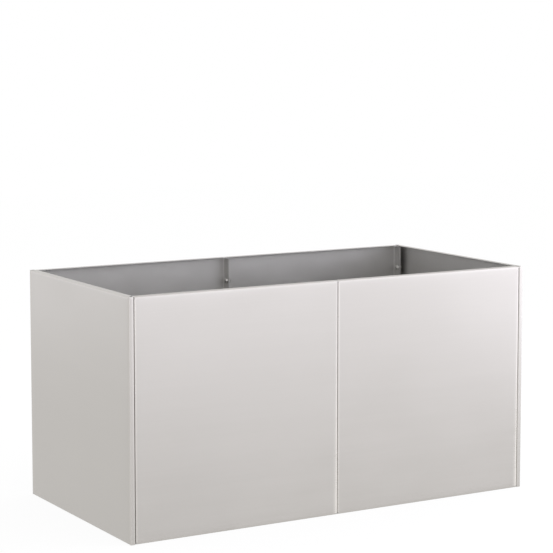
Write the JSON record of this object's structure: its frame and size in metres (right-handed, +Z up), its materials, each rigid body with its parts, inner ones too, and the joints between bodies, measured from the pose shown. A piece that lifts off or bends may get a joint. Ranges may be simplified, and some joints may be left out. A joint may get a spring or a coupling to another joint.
{
  "type": "rectangular planter",
  "caption": "Free-standing rectangular planter box of folded stainless sheet panels, bolted along inward seam flanges, with a drained base, an inward rim and a cross tie.",
  "frame": {"origin": "on the ground, under the middle of the box", "axes": "+X along the length, the front faces -Y, +Z up"},
  "size_m": [0.8, 0.406, 0.41],
  "materials": {
    "satin_stainless": "fine satin stainless sheet, soft blurred reflections",
    "mill_stainless": "plain mill-finish stainless sheet",
    "fastener_steel": "plain stainless fasteners"
  },
  "bodies": {
    "root": {"front_panel_left": "satin_stainless", "front_panel_right": "satin_stainless", "back_panel_left": "satin_stainless", "back_panel_right": "satin_stainless", "end_panel_left": "satin_stainless", "end_panel_right": "satin_stainless", "base_pan_left": "mill_stainless", "base_pan_right": "mill_stainless", "base_rail": "mill_stainless", "cross_tie": "mill_stainless", "front_left_corner_bolts": "fastener_steel", "front_left_corner_washers": "fastener_steel", "front_left_corner_nuts": "fastener_steel", "front_middle_bolts": "fastener_steel", "front_middle_washers": "fastener_steel", "front_middle_nuts": "fastener_steel", "front_right_corner_bolts": "fastener_steel", "front_right_corner_washers": "fastener_steel", "front_right_corner_nuts": "fastener_steel", "back_left_corner_bolts": "fastener_steel", "back_left_corner_washers": "fastener_steel", "back_left_corner_nuts": "fastener_steel", "back_middle_bolts": "fastener_steel", "back_middle_washers": "fastener_steel", "back_middle_nuts": "fastener_steel", "back_right_corner_bolts": "fastener_steel", "back_right_corner_washers": "fastener_steel", "back_right_corner_nuts": "fastener_steel", "tie_bolts": "fastener_steel", "tie_washers": "fastener_steel", "tie_nuts": "fastener_steel"}
  },
  "joints": []
}
